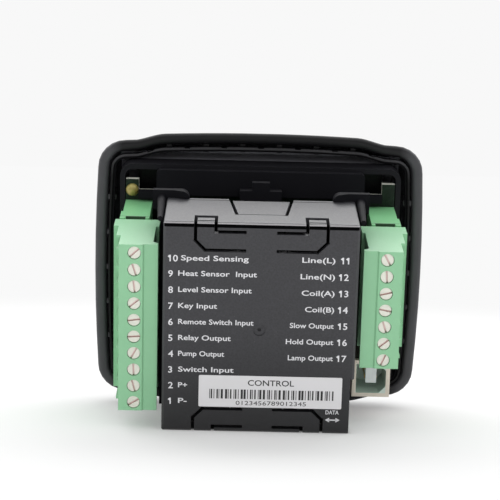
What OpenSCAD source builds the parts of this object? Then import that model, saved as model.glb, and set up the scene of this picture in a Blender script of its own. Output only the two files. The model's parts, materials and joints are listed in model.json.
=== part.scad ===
// Panel-mounted genset controller with plug-in terminals, seen here from its rear side.
// Origin: middle of the panel cut-out in the plane of the panel's skin. +Z is up, the
// operator faces the -Y side, and the terminals face +Y. Left is +X, as seen from the rear.

/* [Terminals] */
// Distance between neighbouring terminals
pitch = 3.81; // [3.5:0.01:5.08]
// Terminals in the left block
left_ways = 10; // [9:1:12]
// Terminals in the right block
right_ways = 7; // [3:1:7]
// Top end of the left plug below the top of the rear cover
left_drop = 5.85; // [5.5:0.05:7]
// Top end of the right plug below the top of the rear cover
right_drop = 6.25; // [5.5:0.05:7]
// Radius of a terminal screw's head
screw_head_r = 1.35; // [1:0.05:1.4]
// Radius of a terminal screw's shank
screw_shank_r = 0.75; // [0.5:0.05:0.9]
// Width of a header pin
pin_w = 0.9; // [0.6:0.05:1.1]
// Height of the header above the board
header_d = 14.7; // [12:0.1:18]
// Width of the header
header_w = 6.3; // [5.8:0.1:7]
// Wall of the header around its cavity
header_wall = 0.9; // [0.7:0.05:1.1]
// Length of the plug's tongue inside the header
tongue_d = 6.5; // [5:0.1:8]
// Gap between the header's mouth and the plug's flange
plug_gap = 1.5; // [1:0.1:3]
// Thickness of the plug's flange
plug_flange_d = 5.5; // [4:0.1:7]
// Depth of the plug behind its flange
plug_body_d = 14.8; // [13.5:0.1:18]

/* [Rear cover] */
// Width of the rear cover
cover_w = 42; // [38:0.1:50]
// Height of the rear cover beyond the left row of terminals
cover_over_row = 9.4; // [9:0.1:14]
// Depth of the rear cover
cover_d = 20.5; // [18:0.1:24]
// Wall of the rear cover
cover_wall = 1.5; // [1.2:0.05:2]
// Radius of the cover's long edges
cover_edge_r = 0.4; // [0.3:0.1:1.5]
// Width of the slots that free the spring tongues
slot_w = 0.7; // [0.5:0.05:1]
// Width of a spring tongue's latch arm
latch_w = 4.35; // [3.6:0.05:5.5]
// Place of a latch arm's middle from the centre line
latch_x = 11.95; // [11:0.05:13]
// Height of a spring tongue's long arm
arm_h = 4.1; // [3:0.1:4.5]
// Middle of the upper long arms below the cover's top
top_arm_drop = 3.95; // [3.6:0.05:4.5]
// Middle of the lower long arms above the cover's bottom
bottom_arm_drop = 3.3; // [3.2:0.05:4.5]
// Half width of the bridge that the four spring tongues grow from
bridge_x = 3.25; // [2.5:0.05:4]

/* [Panel] */
// Height of the panel cut-out above and below the rear cover
cutout_rise = 3.25; // [3:0.05:6]
// Room left between the plugs and the edge of the panel cut-out
cutout_side_room = 0.3; // [0.2:0.05:1]
// Clearance of the sleeve in the panel cut-out
sleeve_clear = 0.2; // [0.1:0.05:0.4]
// Wall of the sleeve
sleeve_wall = 1.2; // [1:0.05:1.4]
// Reach of the sleeve behind the panel's skin
sleeve_reach = 4; // [3.5:0.1:6]
// Lap of the bezel over the panel at each side
lap_side = 6; // [6:0.1:10]
// Lap of the bezel over the panel at top and bottom, beside the swells
lap_edge = 4.25; // [4:0.05:8]

/* [Bezel] */
// Depth of the bezel in front of the panel
bezel_d = 11; // [10.5:0.1:14]
// Radius of the bezel's corners
bezel_corner_r = 6.6; // [6.5:0.1:7.5]
// Height of the swell on the top and bottom edges
swell_h = 2.25; // [1:0.05:3]
// Share of a swell's height that its crown takes
swell_crown = 0.42; // [0:0.02:0.6]
// Half width of a swell between its steps
swell_flat = 22.5; // [16:0.5:24]
// Half width at which a swell has died out
swell_end = 30.25; // [28:0.25:30.5]
// Bow of the bezel's sides
side_bow = 0.7; // [0.2:0.05:1]
// Width of the rim's rear edge
rim_w = 2.6; // [2.2:0.1:3]
// Rounding of the rim's rear edge on its outer side
rim_r = 0.9; // [0.5:0.1:1.2]
// Rounding of the rim's rear edge on its inner side
rim_in_r = 0.8; // [0.3:0.1:0.9]
// Thickness of the bezel's front wall
front_wall = 2; // [1.6:0.1:2.4]
// How far the front face lies inside the rim all round
front_inset = 6.4; // [5:0.1:6.5]
// Spacing of the ribs in the bezel's channel
rib_pitch = 8.65; // [6:0.05:12]
// Thickness of a rib
rib_w = 1.2; // [0.8:0.1:1.6]
// Width of the sealing lip on the gasket's outer edge
gasket_lip_w = 0.5; // [0.3:0.05:0.6]
// Height of the sealing lip
gasket_lip_h = 0.7; // [0.4:0.1:1]
// Height of the gasket
gasket_h = 1.6; // [1.2:0.1:2.2]

/* [Front] */
// Distance from the display's clear opening to each side of the bezel's room
view_side = 6.6; // [6:0.1:12]
// Height of the display's clear opening
view_h = 26; // [20:0.5:26]
// Height of the display's middle above the centre
view_z = 6.5; // [4:0.1:6.5]
// Thickness of the display window
window_t = 1; // [0.6:0.1:1.2]
// Radius of a key
key_r = 4.5; // [3.5:0.1:5]
// How far a key stands out of the bezel
key_proud = 1; // [0.5:0.1:2]
// Travel of a key
key_travel = 0.5; // [0.3:0.05:0.7]
// Height of the row of keys below the centre
key_drop = 19; // [18.5:0.1:19.5]
// Distance between neighbouring keys as a share of the display's width
key_spread = 0.32; // [0.26:0.01:0.33]

/* [Boards] */
// Thickness of both boards
board_t = 1.6; // [1.2:0.1:2]
// Gap between the two boards
board_gap = 3.4; // [3:0.1:5]
// Width of the ears at the main board's top corners
ear_w = 3; // [2.4:0.1:3.4]
// Height of the ears above the main board's top edge
ear_h = 2.7; // [1.5:0.1:3.2]

/* [Data socket] */
// Width of the data socket's shell
socket_w = 9.4; // [8.4:0.1:9.8]
// Height of the data socket's shell
socket_h = 9; // [8.4:0.1:10]
// Depth of the data socket behind the board
socket_d = 14; // [12:0.1:17]
// Wall of the data socket's shell
socket_wall = 1; // [0.8:0.05:1.2]
// Width of the tongue inside the socket
socket_tongue_w = 2.6; // [2:0.1:3]

/* [Hidden] */
$fn = 48;
eps = 0.02;
cut = 1;

// Shared clearances
slide_clear = 0.25;
fit_clear = 0.1;
thread_clear = 0.05;

// Rows and the rear cover
left_row = left_ways * pitch;
cover_h = left_row + cover_over_row;
left_top = cover_h / 2 - left_drop;
right_top = cover_h / 2 - right_drop;

// Places across the width, measured from the centre line
plug_side_gap = 1.2;
flange_step = 0.4;
body_step = 1.1;
split_step = 3.3;
header_offset = 2.9;
plug_over = 1.3;
plug_steps = [1.1, 0.95];
screw_offset = 5.1;
plug_lip_in = cover_w / 2 + plug_side_gap;
plug_flange_in = plug_lip_in + flange_step;
plug_body_in = plug_lip_in + body_step;
plug_split = plug_lip_in + split_step;
header_in = plug_lip_in + header_offset;
header_mid = header_in + header_w / 2;
header_out = header_in + header_w;
plug_out = header_out + plug_over;
plug_mid_out = plug_out - plug_steps[0];
plug_rear_out = plug_mid_out - plug_steps[1];
screw_x = plug_lip_in + screw_offset;

// Panel cut-out, sleeve and bezel
cutout_w = 2 * (plug_out + cutout_side_room);
cutout_h = cover_h + 2 * cutout_rise;
sleeve_w = cutout_w - 2 * sleeve_clear;
sleeve_h = cutout_h - 2 * sleeve_clear;
sleeve_r = 3;
room_w = sleeve_w - 2 * sleeve_wall;
room_h = sleeve_h - 2 * sleeve_wall;
view_w = room_w - 2 * view_side;
bezel_w = cutout_w + 2 * lap_side;
bezel_h = cutout_h + 2 * (lap_edge + swell_h);

// Places along the depth
rim_y = -0.5;
front_y = -bezel_d;
room_y = front_y + front_wall;
window_y = front_y + window_t;
glass_t = 1.6;
display_room = 6.4;
display_y = room_y + display_room;
display_back = display_y + board_t;
main_y = display_back + board_gap;
main_back = main_y + board_t;
chassis_t = 2;
chassis_back = main_back + chassis_t;
header_back = main_back + header_d;
plug_y = header_back + plug_gap;
plug_flange_back = plug_y + plug_flange_d;
plug_back = plug_flange_back + plug_body_d;
plug_step_d = 7.8;
plug_step_y = plug_flange_back + plug_step_d;
tongue_y = header_back - tongue_d;
cover_over_plug = 2.5;
cover_y = plug_back + cover_over_plug - cover_d;
cover_back = cover_y + cover_d;
socket_back = main_back + socket_d;

// Key positions from left to right as the operator sees them
key_pitch = key_spread * view_w;
key_x = [for (i = [-1.5 : 1 : 1.5]) i * key_pitch];
key_z = -key_drop;

// Solid between two corners
module block(x, y, z) {
    translate([min(x), min(y), min(z)])
        cube([max(x) - min(x), max(y) - min(y), max(z) - min(z)]);
}

// Flat outline in X and Z, thickened from one depth to another
module slab(y0, y1) {
    translate([0, y1, 0])
        rotate([90, 0, 0])
            linear_extrude(y1 - y0)
                children();
}

// Round bar along the depth
module rod(x, z, y0, y1, r) {
    translate([x, y0, z])
        rotate([-90, 0, 0])
            cylinder(h = y1 - y0, r = r);
}

// Rectangle about the origin with round corners
module round_rect(w, h, r) {
    flat_w = w - 2 * r;
    flat_h = h - 2 * r;
    square([w, flat_h], center = true);
    square([flat_w, h], center = true);
    for (sx = [-1, 1], sz = [-1, 1])
        translate([sx * flat_w / 2, sz * flat_h / 2])
            circle(r = r);
}

// Bezel outline: bowed sides, round corners and a swell on the top and bottom edges
least_corner_r = 1.2;
side_steps = 3;
corner_steps = 6;
swell_steps = 7;
crown_steps = 5;
function smooth(t) = let (u = max(0, min(1, t))) u * u * (3 - 2 * u);
function swell(x) = swell_h * (
    (1 - swell_crown) * (1 - smooth((x - swell_flat) / (swell_end - swell_flat)))
    + swell_crown * (1 - pow(min(1, x / swell_end), 2)));
function quarter(inset) = let (
    w = bezel_w / 2 - inset,
    low = bezel_h / 2 - swell_h - inset,
    r = max(least_corner_r, bezel_corner_r - inset),
    cx = w - side_bow - r,
    cz = low - r,
    start = min(swell_end, cx - eps)
) concat(
    [for (i = [0 : side_steps - 1]) let (t = i / side_steps) [w - side_bow * t * t, cz * t]],
    [for (i = [0 : corner_steps]) let (a = 90 * i / corner_steps) [cx + r * cos(a), cz + r * sin(a)]],
    [for (i = [1 : swell_steps]) let (x = start + (swell_flat - start) * i / swell_steps)
        [x, low + swell(x)]],
    [for (i = [1 : crown_steps - 1]) let (x = swell_flat * (1 - i / crown_steps)) [x, low + swell(x)]]
);
function turned(list) = [for (i = [len(list) - 1 : -1 : 0]) list[i]];
function outline(inset) = let (
    q = quarter(inset),
    last = len(q) - 1
) concat(
    q,
    turned([for (p = q) [-p[0], p[1]]]),
    [for (i = [1 : last]) -q[i]],
    turned([for (i = [1 : last]) [q[i][0], -q[i][1]]])
);

// Solid through a row of outlines, each given as [depth, inset], from the front to the rear
module loft(rows) {
    rings = [for (row = rows) outline(row[1])];
    n = len(rings[0]);
    points = [for (k = [0 : len(rows) - 1]) for (p = rings[k]) [p[0], rows[k][0], p[1]]];
    sides = [for (k = [0 : len(rows) - 2]) for (i = [0 : n - 1]) let (j = (i + 1) % n)
        [k * n + i, k * n + j, (k + 1) * n + j, (k + 1) * n + i]];
    front = [for (i = [n - 1 : -1 : 0]) i];
    rear = [for (i = [0 : n - 1]) (len(rows) - 1) * n + i];
    polyhedron(points, concat(sides, [front], [rear]), convexity = 6);
}

// Outside of the bezel: round rim, drafted side, soft front edge
round_steps = 4;
draft_inset = 1.7;
front_round_d = 4.8;
draft_y = front_y + front_round_d;
outside_rows = concat(
    [for (i = [0 : round_steps]) let (a = 90 * i / round_steps)
        [front_y + (draft_y - front_y) * (1 - cos(a)),
         front_inset + (draft_inset - front_inset) * sin(a)]],
    [for (i = [0 : round_steps - 1]) let (a = 90 * i / (round_steps - 1))
        [rim_y - rim_r * (1 - sin(a)), rim_r * (1 - cos(a))]]
);
// Inside of the bezel's skin, open to the rear
skin_t = 1.9;
inside_slope = [1.2, 1];
inside_rows = concat(
    [[room_y, front_inset - inside_slope[0] / 2],
     [room_y + inside_slope[0], draft_inset + skin_t + inside_slope[1]],
     [draft_y, draft_inset + skin_t]],
    [for (i = [0 : round_steps - 1]) let (a = 90 * i / (round_steps - 1))
        [rim_y - rim_in_r * (1 - sin(a)), rim_w - rim_in_r * (1 - cos(a))]],
    [[rim_y + cut, rim_w - rim_in_r]]
);

groove_w = 0.6;
gasket_clear = 0.15;
gasket_inset = rim_w + groove_w;
gasket_w = lap_edge + sleeve_clear - gasket_inset - gasket_clear;
gasket_seat = -gasket_h;
rib_over = 0.3;
notch_w = 1.4;
notch_d = 0.25;

module sleeve_outline(grow = 0) {
    round_rect(sleeve_w + 2 * grow, sleeve_h + 2 * grow, sleeve_r + grow);
}

module room_outline() {
    round_rect(room_w, room_h, sleeve_r - sleeve_wall);
}

// Ribs inside the skin on which the gasket rests
ribs_across = floor(swell_end / rib_pitch);
ribs_up = floor((bezel_h / 2 - bezel_corner_r - swell_h) / rib_pitch);
module channel_ribs() {
    difference() {
        union() {
            for (i = [-ribs_across : ribs_across - 1]) translate([(i + 0.5) * rib_pitch, 0, 0])
                block([-rib_w / 2, rib_w / 2], [room_y - cut, gasket_seat], [-bezel_h, bezel_h]);
            for (i = [-ribs_up : ribs_up]) translate([0, 0, i * rib_pitch])
                block([-bezel_w, bezel_w], [room_y - cut, gasket_seat], [-rib_w / 2, rib_w / 2]);
        }
        slab(room_y - 2 * cut, cut) polygon(outline(gasket_inset + gasket_w + rib_over));
    }
}

module bezel_channel() {
    difference() {
        loft(inside_rows);
        slab(room_y - cut, cut) sleeve_outline();
        channel_ribs();
    }
}

// Ledges and bosses on which the two boards rest
ledge_z = 8;
ledge_w = 4;
ledge_in = header_mid + pin_w / 2 + slide_clear;
boss_r = 1.4;
boss_edge = 1.6;
boss_x = key_pitch;
boss_z = room_h / 2 - boss_edge;
module board_rests() {
    for (sx = [-1, 1], sz = [-1, 1]) {
        block([sx * ledge_in, sx * (room_w / 2 + eps)], [room_y - eps, main_y],
            [sz * ledge_z - ledge_w / 2, sz * ledge_z + ledge_w / 2]);
        rod(sx * boss_x, sz * boss_z, room_y - eps, display_y, boss_r);
    }
}

window_lap = 2;
seat_w = view_w + 2 * window_lap;
seat_h = view_h + 2 * window_lap;
module front_bezel() color([0.11, 0.11, 0.12]) difference() {
    union() {
        difference() {
            union() {
                difference() {
                    loft(outside_rows);
                    bezel_channel();
                }
                slab(gasket_seat - eps, sleeve_reach) sleeve_outline();
            }
            slab(room_y, sleeve_reach + cut) room_outline();
        }
        board_rests();
    }
    translate([0, 0, view_z]) {
        slab(front_y - cut, room_y + cut) square([view_w, view_h], center = true);
        slab(front_y - cut, window_y) square([seat_w, seat_h], center = true);
    }
    for (x = key_x) rod(x, key_z, front_y - cut, room_y + cut, key_r + slide_clear);
}

// Notches in the gasket's outer edge lie midway between the ribs
module panel_gasket() color([0.2, 0.2, 0.21])
    for (ring = [[0, gasket_lip_w], [-gasket_lip_h, gasket_w]])
        slab(gasket_seat, ring[0]) difference() {
            polygon(outline(gasket_inset));
            polygon(outline(gasket_inset + ring[1]));
            difference() {
                for (i = [-ribs_across : ribs_across]) translate([i * rib_pitch, 0])
                    square([notch_w, bezel_h], center = true);
                polygon(outline(gasket_inset + notch_d));
            }
        }

// Display stack behind the front wall
module display_window() color([0.55, 0.62, 0.62, 0.6])
    translate([0, 0, view_z]) slab(front_y, window_y)
        square([seat_w - 2 * fit_clear, seat_h - 2 * fit_clear], center = true);

glass_lap = 1.25;
glass_w = view_w + 2 * glass_lap;
glass_h = view_h + 2 * glass_lap;
frame_wall = 1.2;
module display_glass() color([0.55, 0.63, 0.5])
    translate([0, 0, view_z]) slab(room_y, room_y + glass_t) square([glass_w, glass_h], center = true);

module backlight() color([0.93, 0.93, 0.9])
    translate([0, 0, view_z]) slab(room_y + glass_t, display_y)
        square([glass_w, glass_h], center = true);

module display_frame() color([0.16, 0.16, 0.17])
    translate([0, 0, view_z]) slab(room_y, display_y) difference() {
        square([glass_w + 2 * frame_wall, glass_h + 2 * frame_wall], center = true);
        square([glass_w + 2 * fit_clear, glass_h + 2 * fit_clear], center = true);
    }

link_ways = 10;
link_pitch = 2.54;
link_pin_w = 0.64;
link_z = -12;
function link_x(i) = (i - (link_ways - 1) / 2) * link_pitch;

module display_board() color([0.07, 0.08, 0.08]) difference() {
    slab(display_y, display_back)
        square([2 * (ledge_in - slide_clear), room_h - 4 * slide_clear], center = true);
    for (i = [0 : link_ways - 1])
        translate([link_x(i), 0, link_z]) slab(display_y - cut, display_back + cut)
            square(link_pin_w + 2 * thread_clear, center = true);
}

// Keys: a cap in its hole, a flange behind the front wall and a foot on its switch
flange_t = 0.8;
flange_over = 0.8;
foot_r = 2;
foot_d = 0.8;
switch_w = 6;
switch_d = 3.5;
plunger_r = 1.7;
plunger_in = 0.8;
flange_y = room_y + fit_clear;
foot_y = flange_y + flange_t;
plunger_y = foot_y + foot_d;
switch_y = display_y - switch_d;
dome_r = 16;
module key(x, tint) color(tint) translate([x, 0, key_z]) intersection() {
    union() {
        rod(0, 0, front_y - key_proud, foot_y - flange_t + eps, key_r);
        rod(0, 0, flange_y, foot_y, key_r + flange_over);
        rod(0, 0, foot_y - eps, plunger_y, foot_r);
    }
    translate([0, front_y - key_proud + dome_r, 0]) sphere(r = dome_r, $fn = 64);
}
module stop_key() key(key_x[0], [0.75, 0.12, 0.1]);
module mode_key() key(key_x[1], [0.45, 0.46, 0.48]);
module page_key() key(key_x[2], [0.45, 0.46, 0.48]);
module start_key() key(key_x[3], [0.12, 0.55, 0.2]);

module plunger(x) color([0.15, 0.15, 0.16])
    rod(x, key_z, plunger_y, switch_y + plunger_in, plunger_r);
module stop_plunger() plunger(key_x[0]);
module mode_plunger() plunger(key_x[1]);
module page_plunger() plunger(key_x[2]);
module start_plunger() plunger(key_x[3]);

module switch_bodies() color([0.2, 0.2, 0.21]) for (x = key_x) translate([x, 0, key_z]) difference() {
    slab(switch_y, display_y) square(switch_w, center = true);
    rod(0, 0, switch_y - cut, switch_y + plunger_in + key_travel + slide_clear, plunger_r + fit_clear);
}

// Main board: ears beside the chassis at the top corners, a full width below
main_w = room_w - 4 * fit_clear;
main_over_row = 2.6;
main_top = left_top + main_over_row;
main_bottom = -room_h / 2 + fit_clear;
rivet_r = 1.5;
rivet_shank_r = 0.8;
rivet_x = main_w / 2 - ear_w / 2;
rivet_rise = 0.1;
rivet_z = main_top + rivet_rise;
pin_hole = pin_w + 2 * fit_clear;
socket_side = 0.7;
socket_rise = 8.35;
socket_x = -cover_w / 2 - socket_side;
socket_top = -cover_h / 2 + socket_rise;
function way_z(top, i) = top - pitch * (i + 0.5);

module main_board() color([0.1, 0.2, 0.12]) difference() {
    slab(main_y, main_back) {
        translate([0, (main_top + main_bottom) / 2])
            round_rect(main_w, main_top - main_bottom, sleeve_r - sleeve_wall);
        for (sx = [-1, 1])
            translate([sx * (main_w - ear_w) / 2, main_top]) square([ear_w, 2 * ear_h], center = true);
    }
    rod(rivet_x, rivet_z, main_y - cut, main_back + cut, rivet_shank_r + thread_clear);
    for (i = [0 : left_ways - 1]) pin_cut(header_mid, way_z(left_top, i));
    for (i = [0 : right_ways - 1]) pin_cut(-header_mid, way_z(right_top, i));
}
module pin_cut(x, z) {
    translate([x, 0, z]) slab(main_y - cut, main_back + cut) square(pin_hole, center = true);
}

rivet_head_d = 1.1;
rivet_tail_d = 0.5;
rivet_tail_r = 1.2;
module board_rivet() color([0.6, 0.55, 0.3]) translate([rivet_x, main_back, rivet_z]) {
    ball_r = (rivet_r * rivet_r + rivet_head_d * rivet_head_d) / (2 * rivet_head_d);
    rotate([-90, 0, 0]) rotate_extrude() intersection() {
        translate([0, rivet_head_d - ball_r]) circle(r = ball_r);
        square([rivet_r, rivet_head_d]);
    }
    rod(0, 0, -board_t - rivet_tail_d, eps, rivet_shank_r);
    rod(0, 0, -board_t - rivet_tail_d, -board_t, rivet_tail_r);
}

// Link between the boards
link_body_h = 2.5;
link_pin_tail = 0.8;
link_pin_reach = 2.6;
module link_socket() color([0.13, 0.13, 0.14]) difference() {
    translate([0, 0, link_z]) slab(display_back + slide_clear, main_y)
        square([link_ways * link_pitch, link_body_h], center = true);
    for (i = [0 : link_ways - 1])
        translate([link_x(i), 0, link_z])
            slab(display_back - cut, display_back + link_pin_reach + slide_clear)
                square(link_pin_w + 2 * fit_clear, center = true);
}
module link_pins() color([0.8, 0.68, 0.35]) for (i = [0 : link_ways - 1])
    translate([link_x(i), 0, link_z]) slab(display_y - link_pin_tail, display_back + link_pin_reach)
        square(link_pin_w, center = true);

// Opening in the chassis that the board's tall parts stand in
window_x = 17.5;
window_drop = 3.75;
window_z = cover_h / 2 - window_drop;

// Parts on the boards
chip_w = 10;
chip_t = 1.4;
module processor_chip() color([0.08, 0.08, 0.09])
    translate([0, 0, view_z]) slab(display_back, display_back + chip_t) square(chip_w, center = true);

relay_w = 10;
relay_h = 20;
relay_d = 15.5;
relay_gap = 1.2;
relay_edge = 0.8;
relay_drop = 2;
relay_z = window_z - relay_h / 2 - relay_drop;
module power_relays() color([0.1, 0.1, 0.11]) for (i = [-1, 0, 1])
    translate([i * (relay_w + relay_gap), 0, relay_z]) slab(main_back, main_back + relay_d)
        round_rect(relay_w, relay_h, relay_edge);

can_r = 4;
can_d = 12;
can_pitch = 9.5;
can_groove = [1.6, 0.4];
parts_rise = 7.5;
parts_z = -window_z + parts_rise;
module smoothing_capacitors() color([0.15, 0.17, 0.3]) for (i = [0, 1])
    translate([-can_pitch * i, main_back, parts_z]) difference() {
        rod(0, 0, 0, can_d, can_r);
        translate([0, can_groove[0], 0]) rotate([-90, 0, 0])
            rotate_extrude() translate([can_r, 0]) circle(r = can_groove[1], $fn = 24);
    }

coil_r = 4.5;
coil_d = 7;
coil_core_r = 3.4;
coil_lip = 1;
coil_x = 10;
module filter_inductor() color([0.2, 0.2, 0.21]) translate([coil_x, main_back, parts_z]) {
    rod(0, 0, 0, coil_d, coil_core_r);
    rod(0, 0, 0, coil_lip, coil_r);
    rod(0, 0, coil_d - coil_lip, coil_d, coil_r);
}

// Chassis: base plate behind the main board, cheeks beside the cover, corner shoulders that seat it
base_side = 3.2;
base_edge = 0.8;
cheek_gap = 0.2;
cheek_drop = 2.75;
base_x = cover_w / 2 + base_side;
base_z = sleeve_h / 2 - base_edge;
cheek_in = cover_w / 2 + cheek_gap;
cheek_t = 1.2;
cheek_z = cover_h / 2 - cheek_drop;
shoulder_t = 1.6;
shoulder_w = 5;
shoulder_rise = 1.75;
shoulder_x = cover_w / 2 - shoulder_w;
shoulder_top = cover_h / 2 + shoulder_rise;
shoulder_r = 1.8;
wing_rise = [1.2, 2.9];
wing_z = [left_top + wing_rise[0], left_top + wing_rise[1]];
wing_x = main_w / 2 - ear_w;
wing_w = 6;
base_r = 1;
shoulder_back = 0.9;
shoulder_slant = 1.9;
knuckle_r = 1.05;
spine_r = [0.95, 0.55];
spine_d = 17;
spine_lean = atan((spine_r[0] - spine_r[1]) / spine_d);
spine_x = cheek_in + knuckle_r;
spine_drop = 0.2;
spine_z = cover_h / 2 - spine_drop;
tab_x = 2;
tab_foot_x = 4.8;
tab_d = 5.5;
tab_rise = 1.45;
tab_foot_drop = 0.55;
tab_seat = 0.6;
tab_y = chassis_back + tab_d;
tab_t = 1.5;
tab_low = window_z + tab_seat;
tab_top = cover_h / 2 + tab_rise;
tab_foot_top = cover_h / 2 - tab_foot_drop;

module base_outline() difference() {
    union() {
        round_rect(2 * base_x, 2 * base_z, base_r);
        for (sx = [-1, 1])
            translate([sx * (wing_x - wing_w / 2), (wing_z[0] + wing_z[1]) / 2])
                square([wing_w, wing_z[1] - wing_z[0]], center = true);
    }
    square([2 * window_x, 2 * window_z], center = true);
    translate([socket_x + slide_clear - base_x, socket_top + slide_clear - base_z])
        square([base_x, base_z]);
}

// Corner plate with a round inner end, from its seat behind the cover's edge up over the cover's top
module shoulder_outline(out) {
    low = cheek_z - eps;
    translate([shoulder_x + shoulder_r, low])
        square([out - shoulder_x - shoulder_r, shoulder_top - low]);
    translate([shoulder_x, low]) square([shoulder_r + eps, shoulder_top - shoulder_r - low]);
    translate([shoulder_x + shoulder_r, shoulder_top - shoulder_r]) circle(r = shoulder_r);
}

module shoulder(out) {
    slab(cover_y - shoulder_t, cover_y) shoulder_outline(out);
    // The part above the cover reaches back over its edge, more at the inner end
    intersection() {
        slab(cover_y - shoulder_t, cover_y + shoulder_back) shoulder_outline(out);
        translate([0, 0, cover_h / 2 + fit_clear]) linear_extrude(shoulder_top)
            polygon([
                [shoulder_x, cover_y - shoulder_t], [out, cover_y - shoulder_t],
                [out, cover_y + shoulder_back - shoulder_slant],
                [cheek_in, cover_y + shoulder_back - shoulder_slant],
                [shoulder_x + shoulder_r, cover_y + shoulder_back], [shoulder_x, cover_y + shoulder_back]
            ]);
    }
}

// Side wall between the base plate and the cover; the right one clears the data socket
module cheek(side) difference() {
    block([cheek_in, cheek_in + cheek_t], [chassis_back - eps, cover_y], [-cheek_z, cheek_z]);
    if (side == 1)
        block([cheek_in - cut, cheek_in + cheek_t + cut],
            [chassis_back - cut, socket_back + slide_clear], [-cheek_z - cut, socket_top + slide_clear]);
}

module chassis() color([0.09, 0.09, 0.1]) {
    slab(main_back, chassis_back) base_outline();
    for (sx = [0, 1]) mirror([sx, 0, 0]) {
        cheek(sx);
        shoulder(base_x);
        mirror([0, 0, 1]) shoulder(cheek_in + cheek_t);
        // Knuckle and tapered spine beside the cover's upper edge
        translate([spine_x, cover_y - eps, spine_z]) {
            intersection() {
                sphere(r = knuckle_r);
                block([-knuckle_r, knuckle_r], [0, knuckle_r], [-knuckle_r, knuckle_r]);
            }
            rotate([-90, 0, spine_lean]) cylinder(h = spine_d, r1 = spine_r[0], r2 = spine_r[1]);
        }
    }
    // Latch tab above the window
    block([-tab_foot_x, tab_foot_x], [chassis_back - eps, tab_y + tab_t], [tab_low, tab_low + tab_t]);
    block([-tab_foot_x, tab_foot_x], [tab_y, tab_y + tab_t], [tab_low, tab_foot_top]);
    block([-tab_x, tab_x], [tab_y, tab_y + tab_t], [tab_low, tab_top]);
}

// Rear cover: a deep box with slots that free four L-shaped spring tongues and two wedge tongues
corner_cut = 2.1;
edge_soft = 0.5;
wedge_root = 7.7;
wedge_root_y = cover_back - wedge_root;
wedge_x = [7, 5.4];
wedge_short = 1.5;
line_w = 0.3;
line_d = 0.3;
latch_d = 6.1;
latch_gap = 1.8;
latch_line = 2;
latch_line_y = cover_back - latch_line;
bead_w = 0.6;
dimple_r = 1.35;
dimple_d = 0.3;
pit_r = 0.42;
pit_d = 0.9;
relief_d = 0.85;
relief_drop = 0.4;

// Straight slot between two points of the rear face
module slot_run(a, b) {
    d = b - a;
    translate(a) rotate(atan2(d[1], d[0]))
        translate([-slot_w / 2, -slot_w / 2]) square([norm(d) + slot_w, slot_w]);
}

// Slots round the upper left spring tongue, with the middle of its long arm at arm_z
module tongue_slots(arm_z) {
    over = cover_h / 2 + cut;
    outer_x = latch_x + latch_w / 2;
    inner_x = latch_x - latch_w / 2;
    low = arm_z - arm_h / 2;
    high = arm_z + arm_h / 2;
    root_x = bridge_x + slot_w / 2;
    slot_run([outer_x, over], [outer_x, low + corner_cut]);
    slot_run([outer_x, low + corner_cut], [outer_x - corner_cut, low]);
    slot_run([outer_x - corner_cut, low], [root_x, low]);
    slot_run([inner_x, over], [inner_x, high]);
    slot_run([inner_x, high], [root_x, high]);
}

// Slots in the top wall: round the end of a latch arm, and beside half of the wedge tongue
module top_slots() {
    half = latch_w / 2;
    front = cover_back - latch_d;
    for (s = [-1, 1])
        translate([latch_x + s * half - slot_w / 2, front]) square([slot_w, latch_d + cut]);
    translate([latch_x - half - slot_w / 2, front]) square([latch_w + slot_w, latch_gap]);
    slot_run([wedge_x[0], cover_y - cut], [wedge_x[1], wedge_root_y]);
    translate([-eps, cover_y - cut]) square([wedge_x[0] + eps, wedge_short + cut]);
}

// Fine lines in the top wall: the wedge's root, the lip of the front edge, the step of a latch arm
// and the bead along the rear edge
module top_lines() {
    translate([-eps, wedge_root_y - line_w / 2]) square([wedge_x[1] + eps, line_w]);
    translate([wedge_x[0], cover_y + wedge_short - line_w]) square([shoulder_x - wedge_x[0], line_w]);
    translate([latch_x - latch_w / 2, latch_line_y - line_w]) square([latch_w, 2 * line_w]);
    translate([-eps, cover_back - bead_w - line_w]) square([cover_w / 2 + cut, line_w]);
}

module rear_cover() color([0.1, 0.1, 0.11]) difference() {
    hull() {
        slab(cover_y, cover_back - edge_soft) round_rect(cover_w, cover_h, cover_edge_r, $fn = 32);
        slab(cover_back - edge_soft, cover_back)
            round_rect(cover_w - 2 * edge_soft, cover_h - 2 * edge_soft, cover_edge_r / 2, $fn = 32);
    }
    slab(cover_y - cut, cover_back - cover_wall)
        square([cover_w - 2 * cover_wall, cover_h - 2 * cover_wall], center = true);
    for (sx = [0, 1], sz = [0, 1]) mirror([sx, 0, 0]) mirror([0, 0, sz]) {
        slab(cover_back - cover_wall - cut, cover_back + cut)
            tongue_slots(cover_h / 2 - (sz == 0 ? top_arm_drop : bottom_arm_drop));
        translate([0, 0, cover_h / 2 - cover_wall - eps])
            linear_extrude(cover_wall + eps + cut) top_slots();
        translate([0, 0, cover_h / 2 - line_d]) linear_extrude(line_d + cut) top_lines();
    }
    rod(0, 0, cover_back - dimple_d, cover_back + cut, dimple_r);
    rod(0, 0, cover_back - pit_d, cover_back + cut, pit_r);
    // The right wall is thinner beside the data socket, so that a cord's plug can pass
    block([-cover_w / 2 - cut, -cover_w / 2 + relief_d], [cover_y - cut, cover_back + cut],
        [-cover_h / 2 - cut, label_z + label_h / 2 - relief_drop]);
}

label_w = 31.3;
label_h = 7.3;
label_t = 0.12;
label_r = 0.3;
label_x = -2.75;
label_z = -14.25;
module white_label() color([0.92, 0.92, 0.92])
    translate([label_x, 0, label_z]) slab(cover_back, cover_back + label_t)
        round_rect(label_w, label_h, label_r);

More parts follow.
